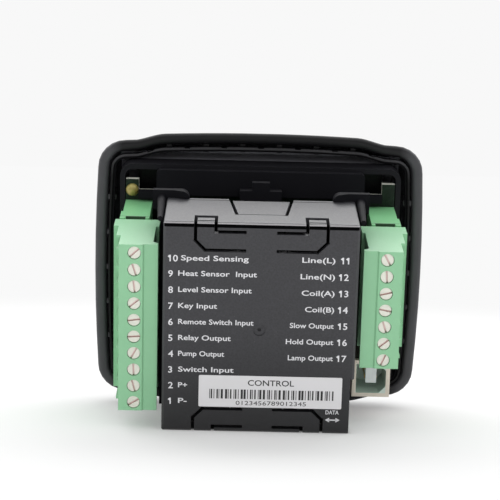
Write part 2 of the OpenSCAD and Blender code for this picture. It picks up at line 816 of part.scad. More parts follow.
// Headers: a shroud open to the rear with a row of pins
header_end = 0.3;
header_step = 0.4;
header_step_d = 4.5;
header_lip = plug_gap - 2 * fit_clear;
pin_tail = 1.2;
pin_drop = 1.1;
tongue_room = 0.7;
module header_section() {
    translate([header_in, main_back]) square([header_w, header_d]);
    translate([header_in, header_back - eps]) square([header_wall, header_lip + eps]);
    translate([header_out - header_wall, header_back - header_step_d])
        square([header_wall + header_step, header_step_d + header_lip]);
}
module header_cavity() {
    translate([header_in + header_wall, tongue_y - tongue_room])
        square([header_w - 2 * header_wall, tongue_d + tongue_room + header_lip + cut]);
}
module header(top, ways) color([0.42, 0.72, 0.5]) difference() {
    row = ways * pitch;
    translate([0, 0, top - row - header_end]) linear_extrude(row + 2 * header_end) header_section();
    translate([0, 0, top - row + header_wall]) linear_extrude(row - 2 * header_wall) header_cavity();
    for (i = [0 : ways - 1])
        translate([header_mid, 0, way_z(top, i)]) slab(main_back - cut, header_back)
            square(pin_w + 2 * thread_clear, center = true);
}
module header_pins(top, ways) color([0.8, 0.78, 0.7]) for (i = [0 : ways - 1])
    translate([header_mid, 0, way_z(top, i)]) slab(main_y - pin_tail, header_back - pin_drop)
        square(pin_w, center = true);
module left_header() header(left_top, left_ways);
module right_header() mirror([1, 0, 0]) header(right_top, right_ways);
module left_header_pins() header_pins(left_top, left_ways);
module right_header_pins() mirror([1, 0, 0]) header_pins(right_top, right_ways);

// Plugs: a tongue for the header, a flange, and a body with a screw well and a wire entry for each way
lip_d = 1.5;
lip_slope = 0.9;
split_d = 0.35;
well_r = screw_head_r + fit_clear;
clamp_room = 0.95;
clamp_reach = [1.9, 2];
clamp_rise = [1.8, 9.3];
clamp_w = pitch - clamp_room;
clamp_x = [screw_x - clamp_reach[0], screw_x + clamp_reach[1]];
clamp_y = [plug_flange_back + clamp_rise[0], plug_flange_back + clamp_rise[1]];
clamp_wall = 0.8;
clamp_side = 0.5;
clamp_roof = 1.6;
entry_room = 1.3;
entry_w = pitch - entry_room;
entry_y = [clamp_y[0] + clamp_wall - 2 * fit_clear, clamp_y[1] - clamp_roof + 2 * fit_clear];
contact_w = 1.2;
contact_t = 0.25;
contact_in = 0.5;
contact_hole = pin_w + 2 * thread_clear + 2 * contact_t + 2 * fit_clear;
tongue_in = header_in + header_wall + slide_clear;
tongue_out = header_out - header_wall - slide_clear;
tongue_end = header_wall + slide_clear;

module plug_section() polygon([
    [plug_flange_in, plug_y], [plug_out, plug_y], [plug_out, plug_flange_back],
    [plug_mid_out, plug_flange_back], [plug_mid_out, plug_step_y], [plug_rear_out, plug_step_y],
    [plug_rear_out, plug_back], [plug_split, plug_back], [plug_split - split_d, plug_back - split_d],
    [plug_lip_in, plug_back - split_d], [plug_lip_in, plug_back - lip_d],
    [plug_body_in, plug_back - lip_d - lip_slope],
    [plug_body_in, plug_flange_back], [plug_flange_in, plug_flange_back]
]);

module plug(top, ways) color([0.45, 0.76, 0.53]) difference() {
    bottom = top - ways * pitch;
    union() {
        translate([0, 0, bottom]) linear_extrude(top - bottom) plug_section();
        block([tongue_in, tongue_out], [tongue_y, plug_y + eps], [bottom + tongue_end, top - tongue_end]);
    }
    for (i = [0 : ways - 1]) translate([0, 0, way_z(top, i)]) {
        half = clamp_w / 2 + fit_clear;
        rod(screw_x, 0, clamp_y[1], plug_back + cut, well_r);
        block(clamp_x + [-fit_clear, fit_clear], clamp_y + [-fit_clear, fit_clear], [-half, half]);
        block([clamp_x[1], plug_out + cut], entry_y, [-entry_w / 2, entry_w / 2]);
        translate([header_mid, 0, 0]) slab(tongue_y - cut, clamp_y[0]) square(contact_hole, center = true);
    }
}
module left_plug() plug(left_top, left_ways);
module right_plug() mirror([1, 0, 0]) plug(right_top, right_ways);

// Slotted screws, each turned its own way
head_d = 1.3;
head_sunk = 0.3;
head_y = plug_back - head_sunk;
slot_cut = [0.4, 0.6];
shank_rise = 3.6;
shank_end = clamp_y[0] + shank_rise;
left_turns = [43, 108, 97, 40, 8, 4, 63, 92, 105, 32];
right_turns = [62, 85, 166, 11, 72, 140, 112];
module screws(top, ways, turns) color([0.82, 0.8, 0.78]) for (i = [0 : ways - 1])
    translate([screw_x, 0, way_z(top, i)]) difference() {
        union() {
            rod(0, 0, head_y - head_d, head_y, screw_head_r);
            rod(0, 0, shank_end, head_y - head_d + eps, screw_shank_r);
        }
        rotate([0, turns[i % len(turns)], 0]) slab(head_y - slot_cut[1], plug_back + cut)
            square([2 * (screw_head_r + cut), slot_cut[0]], center = true);
    }
module left_plug_screws() screws(left_top, left_ways, left_turns);
module right_plug_screws() mirror([1, 0, 0]) screws(right_top, right_ways, right_turns);

// Rising clamps: a short square tube that the screw pulls up against the wire
module clamps(top, ways) color([0.75, 0.75, 0.74]) for (i = [0 : ways - 1])
    translate([0, 0, way_z(top, i)]) difference() {
        block(clamp_x, clamp_y, [-clamp_w / 2, clamp_w / 2]);
        block([clamp_x[0] - cut, clamp_x[1] + cut], [clamp_y[0] + clamp_wall, clamp_y[1] - clamp_roof],
            [-clamp_w / 2 + clamp_side, clamp_w / 2 - clamp_side]);
        rod(screw_x, 0, clamp_y[1] - clamp_roof - cut, clamp_y[1] + cut, screw_shank_r + thread_clear);
    }
module left_plug_clamps() clamps(left_top, left_ways);
module right_plug_clamps() mirror([1, 0, 0]) clamps(right_top, right_ways);

// Contacts: two leaves that run along the pin, joined under the clamp
module contacts(top, ways) color([0.78, 0.7, 0.45]) for (i = [0 : ways - 1])
    translate([header_mid, 0, way_z(top, i)]) {
        gap = pin_w / 2 + thread_clear;
        for (s = [-1, 1])
            block([s * gap, s * (gap + contact_t)], [tongue_y + contact_in, clamp_y[0] - fit_clear],
                [-contact_w / 2, contact_w / 2]);
        block([-gap - eps, gap + eps], [clamp_y[0] - fit_clear - contact_t, clamp_y[0] - fit_clear],
            [-contact_w / 2, contact_w / 2]);
    }
module left_plug_contacts() contacts(left_top, left_ways);
module right_plug_contacts() mirror([1, 0, 0]) contacts(right_top, right_ways);

// Data socket: a folded metal shell with cut corners round a tongue with four contacts
socket_floor = 4.5;
socket_bevel = 1.6;
socket_mid = socket_x - socket_w / 2;
socket_low = socket_top - socket_h;
socket_room = [socket_w - 2 * socket_wall, socket_h - 2 * socket_wall];
socket_tongue_h = 4.3;
socket_tongue_drop = 0.8;
socket_tongue_side = 0.4;
socket_tongue_x = socket_mid - socket_tongue_side;
socket_tongue_z = socket_top - socket_wall - socket_tongue_drop;
socket_tongue_d = 8;
strip_w = 0.9;
strip_t = 0.15;
strip_d = 6.5;
module data_socket_shell() color([0.72, 0.68, 0.62]) difference() {
    block([socket_x, socket_x - socket_w], [main_back, socket_back], [socket_low, socket_top]);
    translate([socket_mid, 0, (socket_low + socket_top) / 2])
        slab(main_back + socket_floor, socket_back + cut) polygon([
            [socket_room[0] / 2, -socket_room[1] / 2], [socket_room[0] / 2, socket_room[1] / 2],
            [-socket_room[0] / 2 + socket_bevel, socket_room[1] / 2],
            [-socket_room[0] / 2, socket_room[1] / 2 - socket_bevel],
            [-socket_room[0] / 2, -socket_room[1] / 2 + socket_bevel],
            [-socket_room[0] / 2 + socket_bevel, -socket_room[1] / 2]
        ]);
}
module data_socket_tongue() color([0.85, 0.86, 0.87])
    block([socket_tongue_x - socket_tongue_w / 2, socket_tongue_x + socket_tongue_w / 2],
        [main_back + socket_floor, main_back + socket_floor + socket_tongue_d],
        [socket_tongue_z - socket_tongue_h, socket_tongue_z]);
module data_socket_contacts() color([0.85, 0.7, 0.35]) for (sx = [-1, 1], sz = [-1, 1]) {
    face = socket_tongue_x + sx * socket_tongue_w / 2;
    mid = socket_tongue_z - socket_tongue_h / 2 + sz * socket_tongue_h / 4;
    block([face, face + sx * strip_t], [main_back + socket_floor, main_back + socket_floor + strip_d],
        [mid - strip_w / 2, mid + strip_w / 2]);
}

front_bezel();
panel_gasket();
display_window();
display_glass();
display_frame();
backlight();
display_board();
stop_key();
mode_key();
page_key();
start_key();
stop_plunger();
mode_plunger();
page_plunger();
start_plunger();
switch_bodies();
main_board();
board_rivet();
link_socket();
link_pins();
processor_chip();
power_relays();
smoothing_capacitors();
filter_inductor();
chassis();
rear_cover();
white_label();
left_header();
right_header();
left_header_pins();
right_header_pins();
left_plug();
right_plug();
left_plug_screws();
right_plug_screws();
left_plug_clamps();
right_plug_clamps();
left_plug_contacts();
right_plug_contacts();
data_socket_shell();
data_socket_tongue();
data_socket_contacts();
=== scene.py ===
# Looks of the genset controller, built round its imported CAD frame
import json
import math

import bpy
from mathutils import Matrix, Vector


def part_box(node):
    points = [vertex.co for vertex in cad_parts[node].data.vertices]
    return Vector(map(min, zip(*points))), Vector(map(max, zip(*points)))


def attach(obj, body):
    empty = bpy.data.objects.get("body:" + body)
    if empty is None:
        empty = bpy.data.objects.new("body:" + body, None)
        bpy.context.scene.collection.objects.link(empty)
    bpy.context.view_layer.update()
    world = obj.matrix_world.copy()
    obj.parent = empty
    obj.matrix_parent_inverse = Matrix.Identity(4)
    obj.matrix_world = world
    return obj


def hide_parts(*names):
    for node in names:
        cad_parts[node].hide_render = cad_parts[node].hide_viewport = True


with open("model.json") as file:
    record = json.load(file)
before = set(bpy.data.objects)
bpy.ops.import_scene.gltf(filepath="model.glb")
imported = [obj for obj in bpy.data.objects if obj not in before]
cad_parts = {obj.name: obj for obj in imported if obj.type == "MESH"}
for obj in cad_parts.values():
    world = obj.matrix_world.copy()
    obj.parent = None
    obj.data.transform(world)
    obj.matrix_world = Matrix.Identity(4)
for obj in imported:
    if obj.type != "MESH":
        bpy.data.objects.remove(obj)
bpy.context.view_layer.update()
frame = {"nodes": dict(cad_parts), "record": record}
nodes = frame["nodes"]
bodyOf = {n: b for b, ns in frame["record"]["behaviour"]["bodies"].items() for n in ns}
mm = 0.001
print("frame loaded:", len(nodes), "nodes")


def deselectAll():
    if bpy.context.object and bpy.context.object.mode != "OBJECT":
        bpy.ops.object.mode_set(mode="OBJECT")
    bpy.ops.object.select_all(action="DESELECT")


def pickOnly(obj):
    deselectAll()
    obj.select_set(True)
    bpy.context.view_layer.objects.active = obj


def applyPlace(obj):  # the piece's place goes into its mesh
    pickOnly(obj)
    bpy.ops.object.transform_apply(location=True, rotation=True, scale=True)


def linear(r, g, b):  # screen colour 0-255 to scene colour
    shares = (c / 255 for c in (r, g, b))
    return tuple(c / 12.92 if c <= 0.04 else ((c + 0.055) / 1.055) ** 2.4 for c in shares) + (1,)


def shade(colour, k):
    return tuple(min(1.0, c * k) for c in colour[:3]) + (1,)


# Single nodes

def feed(tree, socket, value):  # a plain value is set on the socket, an output is joined to it
    if isinstance(value, (tuple, int, float)):
        socket.default_value = value
    else:
        tree.links.new(value, socket)


def math2(tree, operation, a, b, clamp=False):
    node = tree.nodes.new("ShaderNodeMath")
    node.operation = operation
    node.use_clamp = clamp
    for socket, value in zip(node.inputs, (a, b)):
        feed(tree, socket, value)
    return node.outputs[0]


def mapRange(tree, value, low, high, outLow=0.0, outHigh=1.0, smooth=False):
    node = tree.nodes.new("ShaderNodeMapRange")
    node.interpolation_type = "SMOOTHSTEP" if smooth else "LINEAR"
    labels = ("Value", "From Min", "From Max", "To Min", "To Max")
    for label, given in zip(labels, (value, low, high, outLow, outHigh)):
        feed(tree, node.inputs[label], given)
    return node.outputs["Result"]


def mixColour(tree, fac, a, b):
    node = tree.nodes.new("ShaderNodeMix")
    node.data_type = "RGBA"
    for socket, value in ((node.inputs["Factor"], fac), (node.inputs[6], a), (node.inputs[7], b)):
        feed(tree, socket, value)
    return node.outputs[2]


def mixShader(tree, fac, a, b):
    node = tree.nodes.new("ShaderNodeMixShader")
    for socket, value in zip(node.inputs, (fac, a.outputs[0], b.outputs[0])):
        tree.links.new(value, socket)
    return node


def rays(tree):  # masks of what the camera sees itself and what it sees in gloss or glass
    path = tree.nodes.new("ShaderNodeLightPath").outputs
    return path["Is Camera Ray"], math2(tree, "MAXIMUM", path["Is Glossy Ray"], path["Is Transmission Ray"])


def noiseIn(tree, vector, scale, detail, rough):
    node = tree.nodes.new("ShaderNodeTexNoise")
    for label, value in (("Vector", vector), ("Scale", scale), ("Detail", detail), ("Roughness", rough)):
        feed(tree, node.inputs[label], value)
    return node.outputs["Fac"]


def cellsIn(tree, vector, scale, feature="F1"):
    node = tree.nodes.new("ShaderNodeTexVoronoi")
    node.feature = feature
    feed(tree, node.inputs["Vector"], vector)
    feed(tree, node.inputs["Scale"], scale)
    return node.outputs["Distance"]


# Node groups shared by the finishes

grainSet = {"scale": 6000.0, "fine": (4.0, 0.62), "fineShare": 0.6, "cellScale": 0.8, "cellShare": 0.45,
            "toneScale": 0.02, "tone": (3.0, 0.5)}
dustSet = {"scale": 900.0, "amount": 0.1, "patchScale": 0.15, "patch": (2.0, 0.55), "patchOver": 0.55}
brushSet = {"scale": 3000.0, "stretch": (1.0, 0.12, 0.05), "lines": (4.0, 0.7), "blotchScale": 0.12,
            "blotch": (3.0, 0.55)}


def startGroup(name, numbers, outputs):
    group = bpy.data.node_groups.new(name, "ShaderNodeTree")
    group.interface.new_socket("Vector", in_out="INPUT", socket_type="NodeSocketVector")
    for label, value in numbers.items():
        socket = group.interface.new_socket(label, in_out="INPUT", socket_type="NodeSocketFloat")
        socket.default_value = value
    for label in outputs:
        group.interface.new_socket(label, in_out="OUTPUT", socket_type="NodeSocketFloat")
    given = group.nodes.new("NodeGroupInput").outputs
    return group, given, group.nodes.new("NodeGroupOutput").inputs


def makeMouldGrain():
    group, given, made = startGroup("mouldGrain", {"Scale": grainSet["scale"]}, ("Height", "Tone"))

    def times(value, k):
        return math2(group, "MULTIPLY", value, k)

    fine = noiseIn(group, given["Vector"], given["Scale"], *grainSet["fine"])
    cells = cellsIn(group, given["Vector"], times(given["Scale"], grainSet["cellScale"]))
    height = math2(group, "ADD", times(fine, grainSet["fineShare"]), times(cells, grainSet["cellShare"]))
    tone = noiseIn(group, given["Vector"], times(given["Scale"], grainSet["toneScale"]), *grainSet["tone"])
    group.links.new(height, made["Height"])
    group.links.new(tone, made["Tone"])
    return group


def makeDust():
    numbers = {"Scale": dustSet["scale"], "Amount": dustSet["amount"]}
    group, given, made = startGroup("restingDust", numbers, ("Mask",))
    specks = math2(group, "LESS_THAN", cellsIn(group, given["Vector"], given["Scale"]), given["Amount"])
    patchScale = math2(group, "MULTIPLY", given["Scale"], dustSet["patchScale"])
    patch = noiseIn(group, given["Vector"], patchScale, *dustSet["patch"])
    gate = math2(group, "GREATER_THAN", patch, dustSet["patchOver"])
    group.links.new(math2(group, "MULTIPLY", specks, gate), made["Mask"])
    return group


def makeBrushing():
    group, given, made = startGroup("brushedLines", {"Scale": brushSet["scale"]}, ("Lines", "Blotch"))
    stretch = group.nodes.new("ShaderNodeMapping")
    stretch.inputs["Scale"].default_value = brushSet["stretch"]
    group.links.new(given["Vector"], stretch.inputs["Vector"])
    lines = noiseIn(group, stretch.outputs["Vector"], given["Scale"], *brushSet["lines"])
    blotchScale = math2(group, "MULTIPLY", given["Scale"], brushSet["blotchScale"])
    group.links.new(lines, made["Lines"])
    group.links.new(noiseIn(group, given["Vector"], blotchScale, *brushSet["blotch"]), made["Blotch"])
    return group


mouldGrain = makeMouldGrain()
restingDust = makeDust()
brushedLines = makeBrushing()
print("node groups ready")


# Finishes

heightSpan = (0.2, 0.8)  # where most values of the mould grain's height lie
lineSpan = (0.25, 0.75)  # and those of the brushed lines


class Finish:
    def __init__(self, name):
        self.mat = bpy.data.materials.new(name)
        self.mat.use_nodes = True
        self.tree = self.mat.node_tree
        self.shader = self.tree.nodes["Principled BSDF"]
        self.coord = self.tree.nodes.new("ShaderNodeTexCoord")
        self.place = self.coord.outputs["Object"]
        parts = self.tree.nodes.new("ShaderNodeSeparateXYZ")
        self.tree.links.new(self.place, parts.inputs["Vector"])
        self.x, self.y, self.z = parts.outputs

    def group(self, tree, **values):
        node = self.tree.nodes.new("ShaderNodeGroup")
        node.node_tree = tree
        self.tree.links.new(self.place, node.inputs["Vector"])
        for key, value in values.items():
            node.inputs[key].default_value = value
        return node.outputs

    def math(self, operation, a, b, clamp=False):
        return math2(self.tree, operation, a, b, clamp)

    def times(self, a, b):
        return self.math("MULTIPLY", a, b)

    def over(self, value, limit):
        return self.math("GREATER_THAN", value, limit)

    def under(self, value, limit):
        return self.math("LESS_THAN", value, limit)

    def off(self, value, middle=0.0):  # distance from the middle
        return self.math("ABSOLUTE", self.math("SUBTRACT", value, middle), 0)

    def mix(self, fac, a, b):
        return mixColour(self.tree, fac, a, b)

    def ramp(self, value, low, high, outLow=0.0, outHigh=1.0):
        return mapRange(self.tree, value, low, high, outLow, outHigh)

    def bump(self, height, strength, distance=0.06 * mm):
        node = self.tree.nodes.new("ShaderNodeBump")
        node.inputs["Strength"].default_value = strength
        node.inputs["Distance"].default_value = distance
        self.tree.links.new(height, node.inputs["Height"])
        self.join(node.outputs["Normal"], "Normal")

    def rough(self, pattern, span, low, high):
        self.join(self.ramp(pattern, *span, low, high), "Roughness")

    def join(self, value, socket):
        self.tree.links.new(value, self.shader.inputs[socket])

    def set(self, **values):
        for key, value in values.items():
            self.shader.inputs[key.replace("_", " ")].default_value = value


mouldings = {  # finish: (colour, roughness, grain scale, grain depth, mottle, gloss)
    "chassisBlack": ((24, 24, 27), 0.5, 5200.0, 0.1, 0.12, 0.025),
    "plugGreen": ((138, 192, 150), 0.4, 4200.0, 0.1, 0.05, 0.5),
    "headerGreen": ((125, 192, 137), 0.36, 4600.0, 0.08, 0.05, 0.5),
    "tongueWhite": ((246, 250, 252), 0.4, 5200.0, 0.08, 0.05, 0.5),
    "innerBlack": ((20, 20, 22), 0.5, 4800.0, 0.12, 0.12, 0.3),
    "backlightWhite": ((236, 236, 230), 0.55, 5200.0, 0.05, 0.03, 0.5),
    "relayBlack": ((18, 18, 20), 0.45, 5200.0, 0.06, 0.1, 0.3),
    "canSleeve": ((30, 32, 52), 0.3, 2600.0, 0.05, 0.1, 0.5),
    "ferriteGrey": ((46, 46, 48), 0.6, 2600.0, 0.35, 0.2, 0.5),
    "stopRed": ((186, 40, 34), 0.34, 5600.0, 0.08, 0.06, 0.5),
    "keyGrey": ((118, 120, 124), 0.42, 5600.0, 0.08, 0.06, 0.5),
    "startGreen": ((44, 140, 64), 0.34, 5600.0, 0.08, 0.06, 0.5),
    "inkWhite": ((214, 214, 217), 0.5, 5200.0, 0.05, 0.06, 0.5),
    "inkBlack": ((34, 33, 34), 0.5, 5200.0, 0.05, 0.1, 0.5),
    "labelFilm": ((214, 213, 215), 0.42, 7000.0, 0.04, 0.025, 0.5),
}
metals = {  # finish: (colour, roughness)
    "tinned": ((214, 210, 202), 0.32),
    "goldContact": ((214, 178, 104), 0.28),
}
mouldSet = {"spread": (0.07, 0.09), "gapShade": 0.12}
gapStrip = {"headerGreen": (18.5 * mm, 18.75 * mm, 17.0 * mm)}  # y from, y to and z from of a shaded gap
metalSet = {"lines": 3000.0, "depth": 0.05, "tarnish": 0.2, "dark": 0.55, "spread": (0.08, 0.1)}


def moulded(name, colour, rough, grain, depth, mottle, gloss):
    f = Finish(name)
    g = f.group(mouldGrain, Scale=grain)
    tint = linear(*colour)
    tone = f.mix(g["Tone"], shade(tint, 1 - mottle), shade(tint, 1 + mottle))
    if name in gapStrip:
        near, far, low = gapStrip[name]
        strip = f.times(f.times(f.over(f.y, near), f.under(f.y, far)), f.over(f.z, low))
        tone = f.mix(strip, tone, shade(tint, mouldSet["gapShade"]))
    f.join(tone, "Base Color")
    less, more = mouldSet["spread"]
    f.rough(g["Height"], heightSpan, rough - less, rough + more)
    f.bump(g["Height"], depth)
    f.set(Specular_IOR_Level=gloss)
    return f


def metal(name, colour, rough):
    f = Finish(name)
    b = f.group(brushedLines, Scale=metalSet["lines"])
    tint = linear(*colour)
    f.join(f.mix(f.times(b["Blotch"], metalSet["tarnish"]), tint, shade(tint, metalSet["dark"])), "Base Color")
    less, more = metalSet["spread"]
    f.rough(b["Lines"], lineSpan, rough - less, rough + more)
    f.bump(b["Lines"], metalSet["depth"])
    f.set(Metallic=1.0)
    return f


finish = {name: moulded(name, *settings) for name, settings in mouldings.items()}
finish.update({name: metal(name, *settings) for name, settings in metals.items()})


def finishBoards():
    sets = {"grain": 3800.0, "mottle": 0.12, "rough": (0.24, 0.34), "runScale": 420.0, "runEdge": (0.03, 0.06),
            "runDepth": 0.12, "runHeight": 0.04 * mm, "edgeSlant": 0.6, "edgeRough": 0.35}
    boards = {  # finish: (lacquer, copper run, cut edge, gloss)
        "boardGreen": (linear(12, 25, 15), linear(18, 36, 22), linear(232, 234, 222), 0.2),
        "boardBlack": (linear(10, 10, 11), linear(13, 14, 14), linear(10, 10, 11), 0.08),
    }
    for name, (body, trace, edge, gloss) in boards.items():
        f = Finish(name)
        runs = cellsIn(f.tree, f.place, sets["runScale"], "DISTANCE_TO_EDGE")  # copper under the lacquer
        onRun = f.ramp(runs, *sets["runEdge"], 1.0, 0.0)
        g = f.group(mouldGrain, Scale=sets["grain"])
        plain = f.mix(g["Tone"], shade(body, 1 - sets["mottle"]), shade(body, 1 + sets["mottle"]))
        side = f.tree.nodes.new("ShaderNodeSeparateXYZ")
        f.tree.links.new(f.coord.outputs["Normal"], side.inputs["Vector"])
        onEdge = f.under(f.off(side.outputs["Y"]), sets["edgeSlant"])
        f.join(f.mix(onEdge, f.mix(onRun, plain, trace), edge), "Base Color")
        rough = f.ramp(g["Height"], *heightSpan, *sets["rough"])
        f.join(f.math("ADD", f.times(onEdge, sets["edgeRough"]), rough), "Roughness")
        f.bump(onRun, sets["runDepth"], sets["runHeight"])
        f.set(Specular_IOR_Level=gloss)
        finish[name] = f


def finishRivet():
    sets = {"dull": linear(131, 119, 58), "bright": linear(168, 157, 90), "lines": 2600.0,
            "rough": (0.26, 0.42), "depth": 0.06}
    f = Finish("rivetBrass")
    b = f.group(brushedLines, Scale=sets["lines"])
    f.join(f.mix(b["Blotch"], sets["dull"], sets["bright"]), "Base Color")
    f.rough(b["Lines"], lineSpan, *sets["rough"])
    f.bump(b["Lines"], sets["depth"])
    f.set(Metallic=0.35, Coat_Weight=0.3, Coat_Roughness=0.2)
    finish["rivetBrass"] = f


def finishScrews():
    sets = {"plate": linear(233, 233, 221), "slot": linear(234, 210, 205), "faceY": 40.1 * mm, "lines": 5200.0,
            "tarnish": 0.3, "dark": 0.7, "rough": (0.3, 0.48), "depth": 0.08}
    f = Finish("screwNickel")
    b = f.group(brushedLines, Scale=sets["lines"])
    plate = f.mix(f.times(b["Blotch"], sets["tarnish"]), sets["plate"], shade(sets["plate"], sets["dark"]))
    sunk = f.under(f.y, sets["faceY"])
    f.join(f.mix(sunk, plate, sets["slot"]), "Base Color")
    f.rough(b["Lines"], lineSpan, *sets["rough"])
    f.bump(b["Lines"], sets["depth"])
    f.set(Metallic=0.7)
    finish["screwNickel"] = f


shifts = {"data_socket_shell": (-24.5, -0.55)}  # mm; beyond this x by this much: the left wall shows


def finishSocket():
    sets = {"shell": linear(232, 222, 208), "inside": linear(204, 219, 209), "wall": 0.95 * mm,
            "mouth": 1.2 * mm, "lines": 2400.0, "tarnish": 0.35, "dark": 0.6, "roofShade": 0.1,
            "rough": (0.26, 0.44), "depth": 0.08, "metallic": 0.55, "insideLess": 0.4}
    low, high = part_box("data_socket_shell")
    high = high + Vector((shifts["data_socket_shell"][1] * mm, 0, 0))
    mid = (low + high) / 2
    inner = (high - mid) - Vector((1, 1, 1)) * sets["wall"]
    f = Finish("socketNickel")
    b = f.group(brushedLines, Scale=sets["lines"])
    shell = f.mix(f.times(b["Blotch"], sets["tarnish"]), sets["shell"], shade(sets["shell"], sets["dark"]))
    within = f.times(f.under(f.off(f.x, mid.x), inner.x), f.under(f.off(f.z, mid.z), inner.z))
    roofZ = high.z - sets["wall"] / 3
    roof = f.times(f.under(f.y, high.y - sets["mouth"]), f.over(f.z, roofZ))  # shaded by the plug above
    outer = f.mix(roof, shell, shade(sets["shell"], sets["roofShade"]))
    # painted reflection: the inside is tinted green, as by the green plugs, and less metallic so its shade
    # reads lighter
    f.join(f.mix(within, outer, sets["inside"]), "Base Color")
    f.rough(b["Lines"], lineSpan, *sets["rough"])
    f.join(f.math("SUBTRACT", sets["metallic"], f.times(within, sets["insideLess"])), "Metallic")
    f.bump(b["Lines"], sets["depth"])
    finish["socketNickel"] = f


def finishDisplay():
    sets = {"grain": 2200.0, "rough": (0.14, 0.2)}
    cells = {"Scale": 1.0, "Brick Width": 0.36 * mm, "Row Height": 0.36 * mm, "Mortar Size": 0.025 * mm,
             "Color1": linear(128, 142, 112), "Color2": linear(124, 139, 110), "Mortar": linear(140, 152, 124)}
    f = Finish("displayGrey")
    g = f.group(mouldGrain, Scale=sets["grain"])
    dots = f.tree.nodes.new("ShaderNodeTexBrick")  # fine grid of picture cells
    dots.offset = 0.0
    for label, value in cells.items():
        dots.inputs[label].default_value = value
    turn = f.tree.nodes.new("ShaderNodeMapping")
    turn.inputs["Rotation"].default_value = (math.radians(90), 0, 0)
    f.tree.links.new(f.place, turn.inputs["Vector"])
    f.tree.links.new(turn.outputs["Vector"], dots.inputs["Vector"])
    f.join(dots.outputs["Color"], "Base Color")
    f.rough(g["Height"], heightSpan, *sets["rough"])
    f.set(Coat_Weight=0.4, Coat_Roughness=0.06)
    finish["displayGrey"] = f


def finishWindow():
    sets = {"dim": linear(236, 240, 240), "clear": linear(246, 248, 248), "grain": 900.0, "rough": (0.03, 0.07)}
    f = Finish("clearWindow")
    g = f.group(mouldGrain, Scale=sets["grain"])
    f.join(f.mix(g["Tone"], sets["dim"], sets["clear"]), "Base Color")
    f.rough(g["Height"], heightSpan, *sets["rough"])
    f.set(Transmission_Weight=1.0, IOR=1.49)
    finish["clearWindow"] = f


def finishBezel():
    sets = {"skin": linear(15, 15, 17), "side": linear(74, 74, 77), "sideX": (32.6 * mm, 35.6 * mm),
            "room": linear(26, 26, 29), "halfX": 33.2 * mm, "halfZ": 27.4 * mm, "roomY": -1.9 * mm,
            "deep": linear(120, 120, 126), "deepY": -9.9 * mm, "grain": 5200.0, "mottle": 0.4, "dark": 0.7,
            "specks": 1100.0, "speckSize": 0.06, "dusty": 0.3, "dust": linear(150, 148, 146),
            "rough": (0.3, 0.46), "gloss": 0.3, "roomLess": 0.24, "depth": 0.1}
    f = Finish("bezelBlack")
    g = f.group(mouldGrain, Scale=sets["grain"])
    specks = f.group(restingDust, Scale=sets["specks"], Amount=sets["speckSize"])
    offX = f.off(f.x)
    inside = f.times(f.under(offX, sets["halfX"]), f.under(f.off(f.z), sets["halfZ"]))
    # painted shade: inside the sleeve a tone of its own and much less gloss dim the recess
    room = f.times(inside, f.over(f.y, sets["roomY"]))
    # painted light: the bezel's inner walls further in are made grey so their deep shade reads lighter
    deep = f.times(f.math("SUBTRACT", inside, room), f.over(f.y, sets["deepY"]))
    # painted light: the rim's sides are lighter than its top, where the light falls on them
    litSides = f.mix(f.ramp(offX, *sets["sideX"]), sets["skin"], sets["side"])
    skin = f.mix(f.times(g["Tone"], sets["mottle"]), litSides, shade(sets["skin"], sets["dark"]))
    dusty = f.mix(f.times(specks["Mask"], sets["dusty"]), skin, sets["dust"])
    f.join(f.mix(deep, f.mix(room, dusty, sets["room"]), sets["deep"]), "Base Color")
    f.rough(g["Height"], heightSpan, *sets["rough"])
    f.join(f.math("SUBTRACT", sets["gloss"], f.times(room, sets["roomLess"])), "Specular IOR Level")
    f.bump(g["Height"], sets["depth"])
    finish["bezelBlack"] = f


def finishCover():
    sets = {"tone": linear(56, 56, 60), "mottle": 0.22, "pits": 0.6, "pitSpan": (0.3, 0.75), "foot": 0.2,
            "footZ": (-24.0 * mm, 0.0), "bead": linear(150, 148, 151), "beadAt": (42.4 * mm, 23.5 * mm),
            "line": linear(8, 8, 9), "lineAt": (42.7 * mm, 22.8 * mm), "grain": 2600.0, "specks": 1100.0,
            "speckSize": 0.05, "dusty": 0.35, "dust": linear(170, 168, 164), "rough": (0.38, 0.54),
            "gloss": 0.5, "depth": 0.32}
    f = Finish("coverGrain")
    g = f.group(mouldGrain, Scale=sets["grain"])
    specks = f.group(restingDust, Scale=sets["specks"], Amount=sets["speckSize"])
    body = f.mix(g["Tone"], shade(sets["tone"], 1 - sets["mottle"]), shade(sets["tone"], 1 + sets["mottle"]))
    grained = f.mix(f.ramp(g["Height"], *sets["pitSpan"]), shade(sets["tone"], sets["pits"]), body)
    dusty = f.mix(f.times(specks["Mask"], sets["dusty"]), grained, sets["dust"])
    # painted shade: the cover turns darker towards its bottom
    toned = f.mix(f.ramp(f.z, *sets["footZ"]), shade(sets["tone"], sets["foot"]), dusty)
    # painted highlight along the top rear edge's bead, and a painted shadow line under it, dulled there
    line, bead = (f.times(f.over(f.y, sets[k][0]), f.over(f.z, sets[k][1])) for k in ("lineAt", "beadAt"))
    f.join(f.mix(bead, f.mix(line, toned, sets["line"]), sets["bead"]), "Base Color")
    shadowLineMatt = f.math("SUBTRACT", line, bead, True)
    f.join(f.math("SUBTRACT", sets["gloss"], f.times(shadowLineMatt, sets["gloss"])), "Specular IOR Level")
    f.rough(g["Height"], heightSpan, *sets["rough"])
    f.bump(g["Height"], sets["depth"])
    finish["coverGrain"] = f


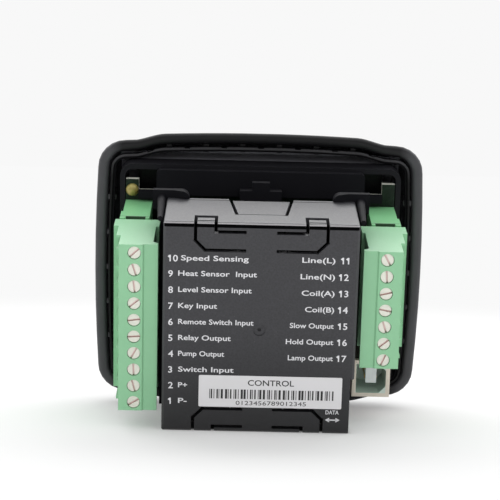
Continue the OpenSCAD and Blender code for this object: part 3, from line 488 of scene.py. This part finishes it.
def finishGasket():
    sets = {"lip": linear(60, 60, 62), "sideLip": linear(7, 7, 8), "topZ": (23.0 * mm, 27.5 * mm),
            "mottle": 0.3, "dark": 0.8, "foot": linear(18, 18, 20), "footY": -0.45 * mm, "grain": 3800.0,
            "rough": (0.48, 0.64), "gloss": 0.25, "footLess": 0.2, "depth": 0.2}
    f = Finish("gasketRubber")
    g = f.group(mouldGrain, Scale=sets["grain"])
    # painted light: the lip is lighter along the top than down the sides
    upper = f.mix(f.ramp(f.z, *sets["topZ"]), sets["sideLip"], sets["lip"])
    lip = f.mix(f.times(g["Tone"], sets["mottle"]), upper, shade(sets["sideLip"], sets["dark"]))
    # painted shade: the gasket's foot below the lip is darker and duller
    foot = f.under(f.y, sets["footY"])
    f.join(f.mix(foot, lip, sets["foot"]), "Base Color")
    f.rough(g["Height"], heightSpan, *sets["rough"])
    f.join(f.math("SUBTRACT", sets["gloss"], f.times(foot, sets["footLess"])), "Specular IOR Level")
    f.bump(g["Height"], sets["depth"])
    finish["gasketRubber"] = f


finishBezel()
finishCover()
finishGasket()
finishBoards()
finishRivet()
finishScrews()
finishSocket()
finishDisplay()
finishWindow()
print("finishes ready:", len(finish))


def wear(obj, name):
    obj.data.materials.clear()
    obj.data.materials.append(finish[name].mat)


# Softened copies of the CAD solids: merged, planar faces joined, sharp edges rounded

softened = {  # node: (finish, edge radius mm, segments, sharp angle)
    "front_bezel": ("bezelBlack", 0.0, 1, 40),
    "panel_gasket": ("gasketRubber", 0.18, 2, 50),
    "main_board": ("boardGreen", 0.0, 1, 40),
    "board_rivet": ("rivetBrass", 0.0, 1, 40),
    "chassis": ("chassisBlack", 0.07, 2, 40),
    "rear_cover": ("coverGrain", 0.1, 2, 50),
    "white_label": ("labelFilm", 0.0, 1, 40),
    "left_header": ("headerGreen", 0.1, 2, 40),
    "right_header": ("headerGreen", 0.1, 2, 40),
    "left_plug": ("plugGreen", 0.12, 2, 30),
    "right_plug": ("plugGreen", 0.12, 2, 30),
    "left_plug_screws": ("screwNickel", 0.08, 2, 40),
    "right_plug_screws": ("screwNickel", 0.08, 2, 40),
    "data_socket_shell": ("socketNickel", 0.15, 2, 40),
    "data_socket_tongue": ("tongueWhite", 0.15, 2, 40),
    "stop_key": ("stopRed", 0.2, 3, 40),
    "mode_key": ("keyGrey", 0.2, 3, 40),
    "page_key": ("keyGrey", 0.2, 3, 40),
    "start_key": ("startGreen", 0.2, 3, 40),
}
softSet = {"merge": 2e-6, "flatAngle": 0.4, "profile": 0.5, "smoothAngle": 32.0, "flatWeight": 100}
notches = {"chassis": ((-22.7, -20.95), (18.2, 22.7), (-25.8, -15.1))}  # mm; clears the view of the socket


def moveBeyond(piece, limit, by):
    pickOnly(piece)
    bpy.ops.object.mode_set(mode="EDIT")
    bpy.ops.mesh.select_mode(type="VERT")
    bpy.ops.mesh.select_all(action="DESELECT")
    bpy.ops.object.mode_set(mode="OBJECT")
    for v in piece.data.vertices:
        v.select = v.co.x > limit * mm
    bpy.ops.object.mode_set(mode="EDIT")
    bpy.ops.transform.translate(value=(by * mm, 0, 0))
    bpy.ops.object.mode_set(mode="OBJECT")


def cutAway(piece, spans):
    deselectAll()
    bpy.ops.mesh.primitive_cube_add(size=1.0)
    tool = bpy.context.object
    tool.scale = [(b - a) * mm for a, b in spans]
    tool.location = [(a + b) / 2 * mm for a, b in spans]
    applyPlace(tool)
    pickOnly(piece)
    notch = piece.modifiers.new("notch", "BOOLEAN")
    notch.operation, notch.solver, notch.object = "DIFFERENCE", "EXACT", tool
    bpy.ops.object.modifier_apply(modifier="notch")
    bpy.data.objects.remove(tool, do_unlink=True)


def evenNormals(piece):  # wide faces stay flat beside their rounded edges
    pickOnly(piece)
    even = piece.modifiers.new("even", "WEIGHTED_NORMAL")
    even.weight, even.keep_sharp = softSet["flatWeight"], True
    bpy.ops.object.modifier_apply(modifier="even")


def softCopy(node, look, radius, segments, sharp):
    piece = bpy.data.objects.new(node + "_soft", nodes[node].data.copy())
    bpy.context.scene.collection.objects.link(piece)
    pickOnly(piece)
    bpy.ops.object.mode_set(mode="EDIT")
    bpy.ops.mesh.select_mode(type="EDGE")
    bpy.ops.mesh.select_all(action="SELECT")
    bpy.ops.mesh.remove_doubles(threshold=softSet["merge"])
    bpy.ops.mesh.customdata_custom_splitnormals_clear()
    if radius:
        bpy.ops.mesh.dissolve_limited(angle_limit=math.radians(softSet["flatAngle"]))
        bpy.ops.mesh.select_all(action="DESELECT")
        bpy.ops.mesh.edges_select_sharp(sharpness=math.radians(sharp))
        bpy.ops.mesh.bevel(offset=radius * mm, segments=segments, profile=softSet["profile"],
                           clamp_overlap=True)
    bpy.ops.object.mode_set(mode="OBJECT")
    if node in notches:
        cutAway(piece, notches[node])
    if node in shifts:
        moveBeyond(piece, *shifts[node])
    bpy.ops.object.shade_smooth_by_angle(angle=math.radians(softSet["smoothAngle"]))
    if radius:
        evenNormals(piece)
    wear(piece, look)
    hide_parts(node)
    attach(piece, bodyOf[node])


for nodeName, settings in softened.items():
    softCopy(nodeName, *settings)
print("softened copies:", len(softened))

plain = {  # CAD nodes shown as they are
    "display_window": "clearWindow", "display_glass": "displayGrey", "display_frame": "innerBlack",
    "backlight": "backlightWhite", "display_board": "boardBlack", "stop_plunger": "innerBlack",
    "mode_plunger": "innerBlack", "page_plunger": "innerBlack", "start_plunger": "innerBlack",
    "switch_bodies": "innerBlack", "link_socket": "innerBlack", "link_pins": "goldContact",
    "processor_chip": "innerBlack", "power_relays": "relayBlack", "smoothing_capacitors": "canSleeve",
    "filter_inductor": "ferriteGrey", "left_header_pins": "tinned", "right_header_pins": "tinned",
    "left_plug_clamps": "tinned", "right_plug_clamps": "tinned", "left_plug_contacts": "goldContact",
    "right_plug_contacts": "goldContact", "data_socket_contacts": "goldContact",
}
for nodeName, look in plain.items():
    wear(nodes[nodeName], look)
print("plain nodes dressed:", len(plain))


# Print on the rear cover, in mm

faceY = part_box("rear_cover")[1].y
inkHeight = 0.012 * mm
printSet = {
    "lift": 0.006 * mm, "ink": 0.006, "bold": 0.014, "capShare": 0.729, "curveSteps": 3, "merge": 1e-4,
    "numberCap": 1.5, "numberWide": 2.25, "wordCap": 1.2, "lean": 0.042, "flag": (0.42, 0.7),
    "leftTop": 16.06, "leftStep": 3.643, "numberX": 19.9, "wordX": 17.75, "tenWordX": 17.15,
    "wordRise": 0.12, "tenDrop": 0.2, "oneShift": 0.3,
    "rightTop": 16.05, "rightStep": 3.699, "rightNumberX": -18.85, "rightWordX": -15.9,
    "dataAt": (-16.45, -19.15), "dataCap": 0.95, "dataWide": 2.9,
}
leftWords = [  # words of rows 10 to 1 and their widths
    ("Speed Sensing", 14.5), ("Heat Sensor  Input", 16.9), ("Level Sensor Input", 15.8), ("Key Input", 8.4),
    ("Remote Switch Input", 16.3), ("Relay Output", 11.4), ("Pump Output", 10.0), ("Switch Input", 12.1),
    ("P+", 2.0), ("P-", 1.9),
]
rightWords = [  # rows 11 to 17
    ("Line(L)", 7.1), ("Line(N)", 7.4), ("Coil(A)", 7.1), ("Coil(B)", 6.3), ("Slow Output", 9.5),
    ("Hold Output", 10.3), ("Lamp Output", 9.8),
]


def printed(words, x, z, cap, width=None, align="LEFT", bold=printSet["bold"], y=faceY + printSet["lift"],
            front=False, stretch=None):
    deselectAll()
    bpy.ops.object.text_add()
    curve = bpy.context.object.data
    curve.body = words
    curve.align_x, curve.align_y = "LEFT", "BOTTOM_BASELINE"
    curve.size = 1.0
    curve.offset = bold
    curve.extrude = printSet["ink"]
    curve.resolution_u = printSet["curveSteps"]
    bpy.ops.object.convert(target="MESH")
    piece = bpy.context.object
    bpy.ops.object.mode_set(mode="EDIT")
    bpy.ops.mesh.select_all(action="SELECT")
    bpy.ops.mesh.remove_doubles(threshold=printSet["merge"])
    bpy.ops.mesh.normals_make_consistent(inside=False)
    bpy.ops.object.mode_set(mode="OBJECT")
    xs = [v.co.x for v in piece.data.vertices]
    tall = cap / printSet["capShare"]
    wide = width / (max(xs) - min(xs)) if width else stretch or tall
    start = {"LEFT": min(xs), "RIGHT": max(xs), "MIDDLE": (min(xs) + max(xs)) / 2}[align]
    shift = -start * wide if front else start * wide
    piece.scale = (wide * mm, tall * mm, mm)
    piece.rotation_euler = (math.radians(90), 0, 0 if front else math.radians(180))
    piece.location = ((x + shift) * mm, y, z * mm)
    applyPlace(piece)
    return piece


def joined(pieces, name, look, body):
    pickOnly(pieces[0])
    for p in pieces:
        p.select_set(True)
    bpy.ops.object.join()
    piece = bpy.context.object
    piece.name = name
    wear(piece, look)
    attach(piece, body)


def thinPlate(wide, tall):
    deselectAll()
    bpy.ops.mesh.primitive_plane_add(size=1.0)
    piece = bpy.context.object
    piece.scale = (wide, tall, 1)
    applyPlace(piece)
    return piece


def triangle(radius, turn):
    deselectAll()
    bpy.ops.mesh.primitive_circle_add(vertices=3, radius=radius, fill_type="NGON")
    piece = bpy.context.object
    piece.rotation_euler = (0, 0, math.radians(turn))
    applyPlace(piece)
    return piece


def thicken(piece, place):  # raised to a closed solid, turned to face the rear and put in its place
    pickOnly(piece)
    bpy.ops.object.mode_set(mode="EDIT")
    bpy.ops.mesh.select_mode(type="FACE")
    bpy.ops.mesh.select_all(action="SELECT")
    bpy.ops.mesh.extrude_region_move(TRANSFORM_OT_translate={"value": (0, 0, inkHeight)})
    bpy.ops.mesh.select_all(action="SELECT")
    bpy.ops.mesh.normals_make_consistent(inside=False)
    bpy.ops.object.mode_set(mode="OBJECT")
    piece.rotation_euler = (math.radians(90), 0, math.radians(180))
    piece.location = place
    applyPlace(piece)


def flagOnes(digits, number):  # the font's 1 is a bare bar, so each one gets a flag
    if number != 1 and number < 10:
        return []
    xs = sorted({round(v.co.x, 7) for v in digits.data.vertices}, reverse=True)
    top = max(v.co.z for v in digits.data.vertices)
    bar = xs[0] - xs[1]
    edges = [xs[0], xs[-1] + bar] if number == 11 else [xs[0]]
    wide, tall = (size * mm for size in printSet["flag"])
    flags = []
    for edge in edges:
        flag = triangle(1.0, 90)
        flag.scale = (wide / 1.5, tall / math.sqrt(3), 1)  # a triangle of radius 1 is 1.5 wide and root 3 tall
        applyPlace(flag)
        thicken(flag, (edge + wide / 3, faceY, top - tall / 2))
        flags.append(flag)
    return flags


def printRow(number, words, wordWide, numberX, wordX, z, align, rise=0.0):
    cap, wordCap = printSet["numberCap"], printSet["wordCap"]
    digits = printed(str(number), numberX, z - cap / 2, cap, align=align, stretch=printSet["numberWide"])
    label = printed(words, wordX, z + rise - wordCap / 2, wordCap, wordWide, align)
    return [digits, label] + flagOnes(digits, number)


def terminalPrint():
    ps = printSet
    rows = []
    for i, (words, wide) in enumerate(leftWords):
        number, lean = 10 - i, ps["lean"] * i
        wordX = (ps["tenWordX"] if number == 10 else ps["wordX"]) - lean
        numberX = ps["numberX"] - lean - (ps["oneShift"] if number in (1, 10) else 0)
        z = ps["leftTop"] - ps["leftStep"] * i - (ps["tenDrop"] if number == 10 else 0)
        rows += printRow(number, words, wide, numberX, wordX, z, "LEFT", ps["wordRise"])
    for i, (words, wide) in enumerate(rightWords):
        number, lean = 11 + i, ps["lean"] * i
        z = ps["rightTop"] - ps["rightStep"] * i
        rows += printRow(number, words, wide, ps["rightNumberX"] - lean, ps["rightWordX"] - lean, z, "RIGHT")
    rows.append(printed("DATA", *ps["dataAt"], ps["dataCap"], ps["dataWide"], "MIDDLE"))
    print("terminal print ready:", len(rows))
    joined(rows, "terminal_print", "inkWhite", "housing")


terminalPrint()


# Print on the white label: a word, plain bars by a rule, and digits in order

labelLow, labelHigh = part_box("white_label")
labelSet = {
    "faceY": labelHigh.y + 0.007 * mm, "barCount": 46, "barTop": 3.15, "barTall": 2.2,
    "barWide": 27.3, "barMid": -0.35,
    "wordDrop": 2.2, "wordCap": 1.35, "wordWide": 10.1, "wordMid": -0.1, "wordBold": 0.012,
    "digitDrop": 6.75, "digitCap": 1.0, "digitWide": 15.4, "digitMid": -0.2, "digitBold": 0.0,
}


def barRow(wide, tall, place):  # one plate, cut at every bar's edges, the gaps taken out
    piece = thinPlate(wide, tall)
    widths = [(1 + (i * i + 3 * i) % 7 % 3, 1 + (i * 5 + i // 3) % 4 % 3)  # bar and gap in turn
              for i in range(labelSet["barCount"])]
    unit = wide / sum(a + b for a, b in widths)
    bpy.ops.object.mode_set(mode="EDIT")
    x = -wide / 2
    gaps = []
    for bar, gap in widths:
        gaps.append((x + bar * unit, x + (bar + gap) * unit))
        for edge in gaps[-1]:
            bpy.ops.mesh.select_all(action="SELECT")
            bpy.ops.mesh.bisect(plane_co=(edge, 0, 0), plane_no=(1, 0, 0))
        x += (bar + gap) * unit
    bpy.ops.mesh.select_mode(type="FACE")
    bpy.ops.mesh.select_all(action="DESELECT")
    bpy.ops.object.mode_set(mode="OBJECT")
    for face in piece.data.polygons:
        face.select = any(a < face.center.x < b for a, b in gaps)
    bpy.ops.object.mode_set(mode="EDIT")
    bpy.ops.mesh.delete(type="FACE")
    bpy.ops.object.mode_set(mode="OBJECT")
    thicken(piece, place)
    return piece


def labelPrint():
    ls = labelSet
    midX = (labelLow.x + labelHigh.x) / 2 / mm
    top = labelHigh.z / mm
    pieces = [
        printed("CONTROL", midX + ls["wordMid"], top - ls["wordDrop"], ls["wordCap"], ls["wordWide"], "MIDDLE",
                ls["wordBold"], ls["faceY"]),
        printed("0123456789012345", midX + ls["digitMid"], top - ls["digitDrop"], ls["digitCap"],
                ls["digitWide"], "MIDDLE", ls["digitBold"], ls["faceY"]),
        barRow(ls["barWide"] * mm, ls["barTall"] * mm,
               ((midX + ls["barMid"]) * mm, labelHigh.y, (top - ls["barTop"] - ls["barTall"] / 2) * mm)),
    ]
    joined(pieces, "label_print", "inkBlack", "housing")


labelPrint()
print("label print ready")


# Plain signs: a double arrow beside the data socket and a sign on each key

signSet = {"arrowX": -16.55, "arrowZ": -20.5, "shaft": (2.0, 0.28), "head": 0.62,
           "keyCap": 3.0, "keyBold": 0.01,
           "keySigns": {"stop_key": "O", "mode_key": "M", "page_key": ">", "start_key": "I"}}


def dataSign():
    place = (signSet["arrowX"] * mm, faceY, signSet["arrowZ"] * mm)
    length, thick = (size * mm for size in signSet["shaft"])
    pieces = [thinPlate(length, thick)]
    for side in (-1, 1):
        tip = triangle(signSet["head"] * mm, -90 * side)
        tip.location = (side * length / 2, 0, 0)
        applyPlace(tip)
        pieces.append(tip)
    for piece in pieces:
        thicken(piece, place)
    joined(pieces, "data_sign", "inkWhite", "housing")


def keySigns():
    cap = signSet["keyCap"]
    for key, sign in signSet["keySigns"].items():
        low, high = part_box(key)
        mid = (low + high) / 2 / mm
        piece = printed(sign, mid.x, mid.z - cap / 2, cap, None, "MIDDLE", signSet["keyBold"], low.y, True)
        joined([piece], key.replace("key", "sign"), "inkWhite", bodyOf[key])


dataSign()
keySigns()
print("signs ready")


# Stage: a white table that the controller leans back on, and soft light

stageSet = {  # the part rests on two edges, given by their y and z in mm
    "frontEdge": (0.0, -33.5), "rearEdge": (43.0, -23.75), "size": 6.0,
    "paper": linear(234, 234, 234), "farPaper": linear(249, 249, 249), "fade": (0.1, 0.3), "glowShare": 0.24,
    "footX": (18.0 * mm, 21.5 * mm), "footY": (40.0 * mm, 44.0 * mm),
    "contact": linear(60, 60, 62), "contactY": (24.0 * mm, 32.0 * mm),
}
skySet = {"seen": linear(248, 248, 248), "low": 1.35, "high": 0.74, "liftSpan": (-0.1, 0.9),
          "nearSide": 0.2, "farSide": 1.6, "sideSpan": (-0.2, 0.6), "sideLift": 0.7}
lampSet = {  # lamp: (up m, to the rear m, size m, watts)
    "above": (0.6, -0.5, (1.6, 0.7), 7.0),
    "front": (0.35, 0.55, (0.9, 0.5), 0.6),
}


def tablePaper():
    mat = bpy.data.materials.new("tablePaper")
    mat.use_nodes = True
    tree = mat.node_tree
    tree.nodes.remove(tree.nodes["Principled BSDF"])
    place = tree.nodes.new("ShaderNodeTexCoord").outputs["Object"]
    far = tree.nodes.new("ShaderNodeVectorMath")
    far.operation = "LENGTH"
    tree.links.new(place, far.inputs[0])
    parts = tree.nodes.new("ShaderNodeSeparateXYZ")
    tree.links.new(place, parts.inputs["Vector"])
    x, y = parts.outputs["X"], parts.outputs["Y"]

    def spread(value, span, outLow=0.0):
        return mapRange(tree, value, *span, outLow, 1.0, True)

    aside = spread(math2(tree, "ABSOLUTE", x, 0), stageSet["footX"])
    clearOf = math2(tree, "MAXIMUM", aside, spread(y, stageSet["footY"]))  # 0 under the box
    # painted shadow: a dark patch on the table under the box's rear edge
    contact = math2(tree, "MULTIPLY", math2(tree, "SUBTRACT", 1.0, clearOf), spread(y, stageSet["contactY"]))
    diffuse = tree.nodes.new("ShaderNodeBsdfDiffuse")
    tint = mixColour(tree, contact, stageSet["paper"], stageSet["contact"])  # dark at the box's rear edge
    tree.links.new(tint, diffuse.inputs["Color"])
    glow = tree.nodes.new("ShaderNodeEmission")  # the far table runs into the white backdrop
    glow.inputs["Color"].default_value = stageSet["farPaper"]
    share = math2(tree, "MULTIPLY", clearOf, stageSet["glowShare"])
    fade = spread(far.outputs["Value"], stageSet["fade"], share)
    seen = math2(tree, "MAXIMUM", *rays(tree))  # the glow is only seen, it lights nothing
    paper = mixShader(tree, math2(tree, "MULTIPLY", fade, seen), diffuse, glow)
    below = tree.nodes.new("ShaderNodeNewGeometry").outputs["Backfacing"]
    sheet = mixShader(tree, below, paper, tree.nodes.new("ShaderNodeBsdfTransparent"))
    tree.links.new(sheet.outputs[0], tree.nodes["Material Output"].inputs["Surface"])
    return mat


def makeStage():
    (y0, z0), (y1, z1) = stageSet["frontEdge"], stageSet["rearEdge"]
    tilt = math.atan2(z1 - z0, y1 - y0)
    deselectAll()
    bpy.ops.mesh.primitive_plane_add(size=stageSet["size"])
    table = bpy.context.object
    table.name = "white_table"
    table.rotation_euler = (tilt, 0, 0)
    table.location = (0, y0 * mm, z0 * mm)
    table.data.materials.append(tablePaper())
    return tilt


tilt = makeStage()
upReal = Vector((0, -math.sin(tilt), math.cos(tilt)))
rearReal = Vector((0, math.cos(tilt), math.sin(tilt)))


def makeSky():
    world = bpy.data.worlds.new("studioWhite")
    bpy.context.scene.world = world
    world.use_nodes = True
    tree = world.node_tree
    heading = tree.nodes.new("ShaderNodeTexCoord").outputs["Generated"]

    def along(axis):
        node = tree.nodes.new("ShaderNodeVectorMath")
        node.operation = "DOT_PRODUCT"
        node.inputs[1].default_value = axis
        tree.links.new(heading, node.inputs[0])
        return node.outputs["Value"]

    sky = tree.nodes["Background"]
    mirror = tree.nodes.new("ShaderNodeBackground")  # in gloss: white behind, dim on the camera's side
    for node in (sky, mirror):
        node.inputs["Color"].default_value = (1, 1, 1, 1)
    lift = along(upReal)
    strength = mapRange(tree, lift, *skySet["liftSpan"], skySet["low"], skySet["high"], True)
    tree.links.new(strength, sky.inputs["Strength"])
    nearer = math2(tree, "SUBTRACT", along(rearReal), math2(tree, "MULTIPLY", lift, skySet["sideLift"]))
    strength = mapRange(tree, nearer, *skySet["sideSpan"], skySet["farSide"], skySet["nearSide"], True)
    tree.links.new(strength, mirror.inputs["Strength"])
    backdrop = tree.nodes.new("ShaderNodeBackground")
    backdrop.inputs["Color"].default_value = skySet["seen"]
    camera, shiny = rays(tree)
    shown = mixShader(tree, camera, mixShader(tree, shiny, sky, mirror), backdrop)
    tree.links.new(shown.outputs[0], tree.nodes["World Output"].inputs["Surface"])


def softBox(name, up, rear, size, watts):
    lamp = bpy.data.lights.new(name, "AREA")
    lamp.shape = "RECTANGLE"
    lamp.size, lamp.size_y = size
    lamp.energy = watts
    holder = bpy.data.objects.new(name, lamp)
    bpy.context.scene.collection.objects.link(holder)
    aim = Vector((0, 20.0 * mm, 0))
    holder.location = aim + upReal * up + rearReal * rear
    holder.rotation_euler = (aim - holder.location).to_track_quat("-Z", "Y").to_euler()


makeSky()
for lampName, settings in lampSet.items():
    softBox(lampName, *settings)
print("stage and light ready")


# Camera at the photograph's angle, in mm and degrees

cameraSet = {"target": (2.226, 20.0, 11.25), "distance": 409.15, "pitch": 16.35, "yaw": 0.545, "roll": 1.44,
             "lens": 129.9, "sensor": 36.0, "clip": (0.01, 20.0)}


def makeCamera():
    cs = cameraSet
    pitch, yaw, roll = (math.radians(cs[k]) for k in ("pitch", "yaw", "roll"))
    back = Vector((math.sin(yaw) * math.cos(pitch), math.cos(yaw) * math.cos(pitch), math.sin(pitch)))
    right = (-back).cross(Vector((0, 0, 1))).normalized()
    up = right.cross(-back)
    turnedRight = right * math.cos(roll) + up * math.sin(roll)
    turnedUp = up * math.cos(roll) - right * math.sin(roll)
    data = bpy.data.cameras.new("photoView")
    data.lens, data.sensor_width = cs["lens"], cs["sensor"]
    data.clip_start, data.clip_end = cs["clip"]
    holder = bpy.data.objects.new("photoView", data)
    bpy.context.scene.collection.objects.link(holder)
    place = Vector(cs["target"]) * mm + back * cs["distance"] * mm
    turned = Matrix((turnedRight, turnedUp, back)).transposed().to_4x4()
    holder.matrix_world = Matrix.Translation(place) @ turned
    bpy.context.scene.camera = holder


makeCamera()
bpy.context.scene.view_settings.view_transform = "Standard"
deselectAll()
print("camera ready")
